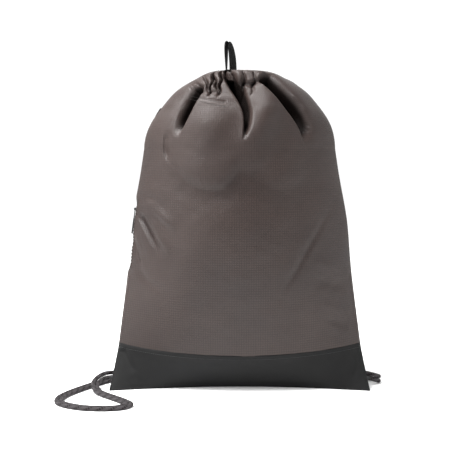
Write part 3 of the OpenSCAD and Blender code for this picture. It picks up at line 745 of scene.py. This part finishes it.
def front_inset(x, z):
    """How far the front cloth lies inside the plain filled shape."""
    inset = np.zeros(x.shape)
    add_all(inset, fold, x, z, FRONT_GATHERS)
    add_all(inset, mound, x, z, FRONT_MOUNDS)
    add_all(inset, fold, x, z, FRONT_CREASES)
    # fine drags that run down and inwards from the right side
    for i in range(6):
        x0, z0 = 132 - 7 * i, 268 - 13 * i
        inset += fold(x, z, [(x0, z0), (x0 - 26, z0 - 44), (x0 - 58, z0 - 96)],
                      0.45, 4, 5, (0.4, 0.5))
    top = smoothstep(392, 412, z)
    for x0, lean, deep, wide in PLEATS:
        centre = x0 + lean * (z - 415) / 10 + 1.2 * np.sin(z / 2.6 + x0)
        inset += deep * np.exp(-((x - centre) / wide) ** 2) * top
    inset += 3.0 * np.exp(-((z - 402 + 0.15 * (x + 36)) / 2.4) ** 2) \
        * np.exp(-((x + 38) / 12) ** 2)
    add_all(inset, fold, x, z, STITCH_PULLS)
    inset += 0.45 * ripple(x, z, 3, 70)
    return inset


def back_inset(x, z):
    """The same for the back, which hangs straighter under its own gathers."""
    inset = np.zeros(x.shape)
    for x0, x1, z1, deep, left, right in BACK_GATHERS:
        inset += fold(x, z, [(x0 * 0.55, 428), (x0, 400), ((x0 + x1) / 2, (z1 + 400) / 2 + 4),
                             (x1, z1)], deep, left, right, (0.0, 0.5), 0.7)
    inset += mound(x, z, (-30, 372), (16, 30), 4) + mound(x, z, (2, 370), (12, 32), 5)
    inset += mound(x, z, (34, 372), (16, 30), 4)
    add_all(inset, fold, x, z, BACK_CREASES)
    inset += 0.5 * ripple(x, z, 11, 80)
    return inset


def body_surface(z, t, side):
    """The cloth of the body with its folds."""
    plain = cloth_at(z, t, side)
    dz, dt = 0.5, 0.004
    up = cloth_at(z + dz, t, side) - cloth_at(z - dz, t, side)
    across = cloth_at(z, np.clip(t + dt, 0, math.pi), side) \
        - cloth_at(z, np.clip(t - dt, 0, math.pi), side)
    normal = np.cross(up, across) * -side
    normal /= np.maximum(np.linalg.norm(normal, axis=-1), 1e-9)[..., None]
    x, level = plain[..., 0], plain[..., 2]
    inset = front_inset(x, level) if side < 0 else back_inset(x, level)
    hold = smoothstep(0, 0.30, np.sin(t)) * smoothstep(BAND_H - BAND_DIP, BAND_H + 16, level)
    hold = hold * (1 - 0.75 * smoothstep(BAG_H - 9, BAG_H - 1, level))
    # what stands out of the plain shape fades towards the seams, so the outline stays true
    inset = np.where(inset < 0, inset * smoothstep(0.35, 0.95, np.sin(t)), inset)
    moved = plain + normal * (-inset * hold)[..., None]
    for out, height, reach in OUTLINE:
        moved[..., 0] += out * np.cos(t) ** 3 * np.exp(-((z - height) / reach) ** 2)
    moved[..., 0] += top_lean(z) * np.where(x < 0, 0.3 + 0.7 * np.sin(t), 1)
    moved[..., 2] -= MOUTH_DROP * smoothstep(24, 66, np.abs(x - 4)) * smoothstep(398, 430, z)
    # the second value is how deep the cloth lies in a fold: the mask of the painted shade in the
    # gathers
    return moved, smoothstep(1.5, 8.5, inset * hold)


def seam_gap(z, side, left):
    """Half width of the gap in a side seam: the zip in the left one, the slit at the back."""
    gap = np.zeros(np.shape(z))
    if side > 0:
        gap = SLIT_W * np.clip((z - SLIT_Z) / SLIT_RAMP, 0, 1)
    if left:
        zip_in = np.clip((z - (ZIP_Z - ZIP_REACH) + ZIP_RAMP) / ZIP_RAMP, 0, 1)
        zip_out = np.clip(((ZIP_Z + ZIP_REACH) + ZIP_RAMP - z) / ZIP_RAMP, 0, 1)
        gap = np.maximum(gap, ZIP_HALF * np.minimum(zip_in, zip_out))
    return gap


def edge_turn(gap, z):
    return np.arcsin(np.clip(gap / half_depth(z), 0, 1) ** (1 / roundness(z)))


def body_sheet(side, rows, columns):
    """Grid of one panel from the band's seam to the gathered neck."""
    z = rows[:, None] * np.ones(columns)[None, :]
    start = edge_turn(seam_gap(rows, side, False), rows)[:, None]
    stop = edge_turn(seam_gap(rows, side, True), rows)[:, None]
    share = np.linspace(0, 1, columns)[None, :]
    t = math.pi * share + start * (1 - share) ** 10 - stop * share ** 10
    points, depth = body_surface(z, t, side)
    last = points[-1]
    reach = np.hypot(last[:, 0], last[:, 1])
    neck = []
    for share in np.linspace(1 / NECK_ROWS, 1, NECK_ROWS):
        radius = reach + (CHANNEL_R - 0.5 - reach) * share
        height = last[:, 2] + (BAG_H - 3 - last[:, 2]) * math.sin(math.pi / 2 * share)
        neck.append(np.column_stack([last[:, :2] * (radius / reach)[:, None], height]))
    return (np.concatenate([points, np.array(neck)], 0),
            np.vstack([depth] + [depth[-1:]] * NECK_ROWS))


def surface_of(grid, side):
    """The grid as a surface to lay stitches on, its normals outwards."""
    return BVHTree.FromPolygons(grid.reshape(-1, 3).tolist(),
                                grid_faces(*grid.shape[:2], flip=side < 0))


def make_body():
    rows = np.concatenate([np.linspace(BAND_H, 300, 130, endpoint=False),
                           np.linspace(300, 405, 95, endpoint=False),
                           np.linspace(405, 431, 34)])
    columns = 300
    sheets = {}
    for side, name in ((-1, "front_cloth"), (1, "back_cloth")):
        grid, depth = body_sheet(side, rows, columns)
        piece = lay_cloth(name, grid, RIPSTOP, 1.1, flip=side < 0)
        # the fold depth, kept for the painted shade inside the gathers
        store(piece, "gather", np.repeat(depth.reshape(-1, 1), 3, 1))
        sheets[side] = surface_of(grid, side)
        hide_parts("front_panel" if side < 0 else "back_panel")
    return sheets


BODY = make_body()


def make_channel():
    """The gathered channel: a ring of cloth crushed into pleats round the closed mouth."""
    low = BAG_H - 20
    turns = 720
    angle = np.linspace(0, 2 * math.pi, turns, endpoint=False)
    lobes = np.abs(np.sin(9 * angle + 1.3 * np.sin(2 * angle + 0.4) + 0.5)) ** 0.6
    small = 0.5 * np.sin(23 * angle + 2 * np.sin(3 * angle))
    crush = 1 - lobes
    profile = [(MOUTH_R + 1.2, low + 2, 0.0), (MOUTH_R + 0.5, low + 9, 0.35),
               (MOUTH_R + 0.3, BAG_H - 8, 0.7), (MOUTH_R + 1.6, BAG_H - 4.6, 1.0),
               (MOUTH_R + 5, BAG_H - 2.6, 1.0), (MOUTH_R + 10, BAG_H - 2.0, 1.0),
               (MOUTH_R + 15, BAG_H - 2.4, 1.0), (CHANNEL_R - 3, BAG_H - 3.8, 1.0),
               (CHANNEL_R - 0.6, BAG_H - 6.0, 0.8), (CHANNEL_R - 0.4, BAG_H - 10, 0.5),
               (CHANNEL_R - 0.8, low + 3, 0.2)]
    line = smooth_line(profile, 1.2)
    points = []
    for radius, height, play in line:
        r = radius - play * 2.2 * crush * (1 if radius > 20 else -0.6) + play * 0.6 * small
        z = height - play * 3.4 * crush + 0.4 * play * small
        points.append(np.column_stack([r * np.cos(angle), r * np.sin(angle), z]))
    grid = np.array(points)
    weave = np.stack([np.tile(angle * 26 * MM, (len(grid), 1)),
                      np.repeat(along(line[:, :2])[:, None] * MM, turns, 1),
                      np.zeros((len(grid), turns))], -1)
    piece = lay_cloth("channel_cloth", grid, RIPSTOP, 0.8, flip=True,
                      around=True, weave=weave)
    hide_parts("channel_front", "channel_back")


make_channel()


def make_facing():
    """The channel's inner layer, which closes the slits behind the cords."""
    rows, columns = np.linspace(388, 433, 30), 40
    for left, name in ((True, "left"), (False, "right")):
        z = rows[:, None] * np.ones(columns)[None, :]
        t = np.linspace(0.04, 0.95, columns)[None, :] * np.ones(len(rows))[:, None]
        grid, _ = body_surface(z, math.pi - t if left else t, 1)
        reach = np.maximum(np.hypot(grid[..., 0], grid[..., 1]), 20)
        grid[..., :2] *= (1 - 9 / reach)[..., None]
        grid[..., 1] -= 5 * smoothstep(0.04, 0.5, t)
        lay_cloth(f"channel_facing_{name}", grid, RIPSTOP, 0.8, flip=left)


make_facing()


# ---------------------------------------- base band

def band_surface(z, t, side):
    plain = cloth_at(z, t, side)
    x, level = plain[..., 0], plain[..., 2]
    inset = 0.35 * ripple(x, level, 21 if side < 0 else 22, 60)
    inset += fold(x, level, [(-160, 56), (-152, 39), (-143, 21)], 2.2, 4, 6, (0.1, 0.3))
    inset += fold(x, level, [(158, 56), (160, 30), (150, 10)], 1.2, 5, 5, (0.2, 0.3))
    hold = smoothstep(0.0, 0.25, np.sin(t)) * smoothstep(0, 8, level)
    moved = plain.copy()
    moved[..., 1] += -side * inset * hold
    return moved


def make_band():
    rows = np.linspace(0, BAND_H, 56)
    columns = 240
    surfaces = {}
    for side, name in ((-1, "band_front_cloth"), (1, "band_back_cloth")):
        z = rows[:, None] * np.ones(columns)[None, :]
        t = np.linspace(0, math.pi, columns)[None, :] * np.ones(len(rows))[:, None]
        grid = band_surface(z, t, side)
        # the band laps over the body cloth by 4 mm and stands a thread's width proud of it
        lap_z = z[:1] * 0 + BAND_H
        lap = [band_surface(lap_z + rise, t[:1], side)[0] for rise in (1.2, 2.4)]
        for row, out in zip(lap, (0.5, 0.2)):
            row[:, 1] += side * out * smoothstep(0, 0.3, np.sin(t[0]))
        grid[-12:, :, 1] += side * (0.7 * smoothstep(0, 11, np.arange(12)))[:, None] \
            * smoothstep(0, 0.3, np.sin(t[:1]))
        grid = np.concatenate([grid, np.array(lap)], 0)
        piece = lay_cloth(name, grid, CANVAS, 1.3, flip=side < 0)
        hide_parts("base_front" if side < 0 else "base_back")
        surfaces[side] = surface_of(grid, side)
    return surfaces


BAND = make_band()


# ---------------------------------------- stitching

def on_front(places):
    """Points on the front cloth straight behind the places (x, z)."""
    found = []
    for x, z, _ in smooth_line([(x, z, 0) for x, z in places], 1.0):
        hit = BODY[-1].ray_cast((x, -300, z), (0, 1, 0))[0]
        if hit is not None:
            found.append(tuple(hit))
    return np.array(found)


def sew(name, cloth, line, thread, pitch=3.0, length=2.2, radius=0.28, zigzag=0.0):
    """A row of stitches along a line on a cloth, each a short thread that dips in at its ends.
    A zigzag wider than nothing makes a bartack."""
    distance = along(line)
    stitches = []
    for number, start in enumerate(np.arange(0, distance[-1] - length, pitch)):
        stitch = []
        for share in np.linspace(0, 1, 5):
            at = start + share * length
            spot = Vector([float(np.interp(at, distance, line[:, k])) for k in range(3)])
            if zigzag:
                spot.x += zigzag * (share - 0.5) * (1 if number % 2 else -1)
            hit, normal, _, _ = cloth.find_nearest(spot)
            out = normal * (radius * (1.5 * math.sin(math.pi * share) - 0.5))
            stitch.append(tuple(hit + out))
        stitches.append(tube(stitch, radius, sides=6))
    points, faces, _ = merge(stitches)
    return new_piece(name, points, faces, thread)


def seam_line(side, z_low, z_high, left, inset):
    """A line up a side seam, a little way in from the edge."""
    z = np.linspace(z_low, z_high, int(abs(z_high - z_low)) + 2)
    t = np.arcsin(np.sqrt(np.clip(2 * inset / half_width(z), 0, 1)))
    return cloth_at(z, math.pi - t if left else t, side)


def make_stitching():
    for row, drop in (("upper", 0.0), ("lower", 4.5)):
        for label, places in (("left", [(-66, 399), (-50, 395), (-35, 391), (-18, 388)]),
                              ("right", [(-2, 419), (8, 413), (20, 416)])):
            sew(f"channel_stitches_{label}_{row}", BODY[-1],
                on_front([(x, z - drop) for x, z in places]), THREAD_DARK)
        back = cloth_at(np.full(200, 404.0 - drop), np.linspace(0.7, math.pi - 0.7, 200), 1)
        sew(f"channel_stitches_back_{row}", BODY[1], back, THREAD_DARK)
    for side, label in ((-1, "front"), (1, "back")):
        t = np.linspace(0.06, math.pi - 0.06, 400)
        sew(f"band_stitches_{label}", BAND[side],
            band_surface(np.full(400, BAND_H - 3), t, side), THREAD_BAND)
        sew(f"zip_stitches_{label}", BODY[side], seam_line(side, 166, 262, True, 2.6),
            THREAD_DARK, pitch=4.6, length=3.2, radius=0.5)
        for place, low in (("top", 255.5), ("bottom", 165.5)):
            sew(f"zip_bartack_{label}_{place}", BODY[side],
                seam_line(side, low, low + 5.0, True, 2.5), THREAD_DARK, pitch=0.55,
                length=0.5, radius=0.3, zigzag=5.0)
        for left, name in ((True, "left"), (False, "right")):
            sew(f"seam_stitches_{label}_{name}", BODY[side],
                seam_line(side, 66, 160, left, 2.2), THREAD)


make_stitching()

# ---------------------------------------- webbing hang loop


def make_hang_loop():
    """Folded webbing: its left leg edge on, its right leg broad to the front."""
    low, high = node_box("hang_loop")
    steps = 90
    share = np.linspace(0, 1, steps)
    centre_x, half, foot = -12.0, 4.6, BAG_H - 6
    rise = high[2] - foot - 3.0
    line = np.stack([centre_x + half * np.where(share < 0.5, -1, 1)
                     * np.abs(np.cos(math.pi * share)) ** 0.7,
                     np.full(steps, 18.0) - 4 * np.abs(share - 0.5),
                     foot + rise * np.sin(math.pi * share) ** 0.9], 1)
    line[:, 0] -= 1.5 + 2.5 * np.sin(math.pi * share) ** 2
    heading = np.gradient(line, axis=0)
    heading /= np.linalg.norm(heading, axis=1)[:, None]
    turn = np.radians(90 - 90 * share ** 0.8)
    across = np.stack([np.cos(turn), np.sin(turn), np.zeros(steps)], 1)
    across -= (across * heading).sum(1)[:, None] * heading
    across /= np.linalg.norm(across, axis=1)[:, None]
    thick = np.cross(heading, across)
    ribs = np.linspace(-1, 1, 21)
    width = 4.9 - 1.7 * np.sin(math.pi * share) ** 3
    points, weave = [], []
    for face in (1, -1):
        for rib in (ribs if face > 0 else ribs[::-1]):
            swell = 0.12 * math.cos(6 * math.pi * rib) + 0.62 * (1 - 0.3 * abs(rib) ** 6)
            points.append(line + (width * rib)[:, None] * across + face * swell * thick)
            weave.append(np.stack([width * rib, along(line), np.zeros(steps)], 1))
    grid = np.array(points).transpose(1, 0, 2)
    grid_weave = np.array(weave).transpose(1, 0, 2)
    columns = grid.shape[1]
    faces = grid_faces(steps, columns, around=True)
    piece = new_piece("hang_loop_webbing", grid.reshape(-1, 3), faces, WEBBING)
    store(piece, "weave", grid_weave.reshape(-1, 3) * MM)
    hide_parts("hang_loop")


make_hang_loop()

# ---------------------------------------- CAD pieces that stay

KEPT = {"base_panel": CANVAS, "pocket_bag": LINING, "seam_binding_right": TAPE,
        "seam_binding_left_upper": TAPE, "seam_binding_left_lower": TAPE,
        "corner_tab_left": TAPE, "corner_tab_right": TAPE,
        "cord_left_channel": BRAID, "cord_right_channel": BRAID,
        "zip_tape_front": TAPE, "zip_tape_back": TAPE, "zip_coil_front": COIL,
        "zip_coil_back": COIL, "zip_top_stop": ZINC, "zip_bottom_stop": ZINC,
        "zip_slider": ZINC, "zip_pull": ZINC, "zip_pull_cord": TAPE}
for kept_node, kept_material in KEPT.items():
    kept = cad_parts[kept_node]
    kept.data.materials.clear()
    kept.data.materials.append(kept_material)

# ---------------------------------------- stage and light

FLOOR_HALF = 40.0   # half the floor's side in metres
FLOOR_GLOW = 0.14   # lifts the floor to the photo's white


def make_stage():
    material, tree, shader = begin("studio_floor_paint", {
        "Roughness": 0.9, "Emission Color": (1, 1, 1, 1), "Emission Strength": FLOOR_GLOW})
    join(tree, shader, {
        "Base Color": ramp(tree, noise(tree, 3.0), [(0.3, "#f6f6f6"), (0.7, "#f9f9f9")])})
    mesh = bpy.data.meshes.new("floor")
    corners = ((-1, -1), (1, -1), (1, 1), (-1, 1))
    mesh.from_pydata([(x * FLOOR_HALF, y * FLOOR_HALF, 0) for x, y in corners],
                     [], [(0, 1, 2, 3)])
    mesh.materials.append(material)
    floor = bpy.data.objects.new("floor", mesh)
    bpy.context.scene.collection.objects.link(floor)


def softbox(name, place, aim, size, power):
    light = bpy.data.lights.new(name, "AREA")
    light.shape = "RECTANGLE"
    light.size, light.size_y = size
    light.energy = power
    lamp = bpy.data.objects.new(name, light)
    lamp.location = place
    way = Vector(aim) - Vector(place)
    lamp.rotation_euler = way.to_track_quat("-Z", "Y").to_euler()
    bpy.context.scene.collection.objects.link(lamp)


make_stage()
world = bpy.data.worlds.new("studio")
world.use_nodes = True
studio = world.node_tree
studio_way = add(studio, "TexCoord").node.outputs["Generated"]
studio_depth = add(studio, "SeparateXYZ", links={0: studio_way}).node.outputs[1]
# white cove behind the bag, the darker room in front of it
studio_light = remap(studio, studio_depth, (-0.95, -0.30), (0.05, 1.08), "SMOOTHSTEP")
studio.links.new(studio_light, studio.nodes["Background"].inputs["Strength"])
studio.nodes["Background"].inputs["Color"].default_value = (1, 1, 1, 1)
bpy.context.scene.world = world
bpy.context.scene.view_settings.view_transform = "Standard"
softbox("softbox_top", (-0.50, -0.28, 1.42), (-0.06, 0, 0.40), (0.7, 0.5), 56)
softbox("softbox_left", (-1.30, -0.60, 0.95), (-0.05, 0, 0.33), (0.4, 0.6), 12)
softbox("softbox_right", (1.40, -0.60, 0.25), (0, 0, 0.12), (0.5, 0.7), 3)
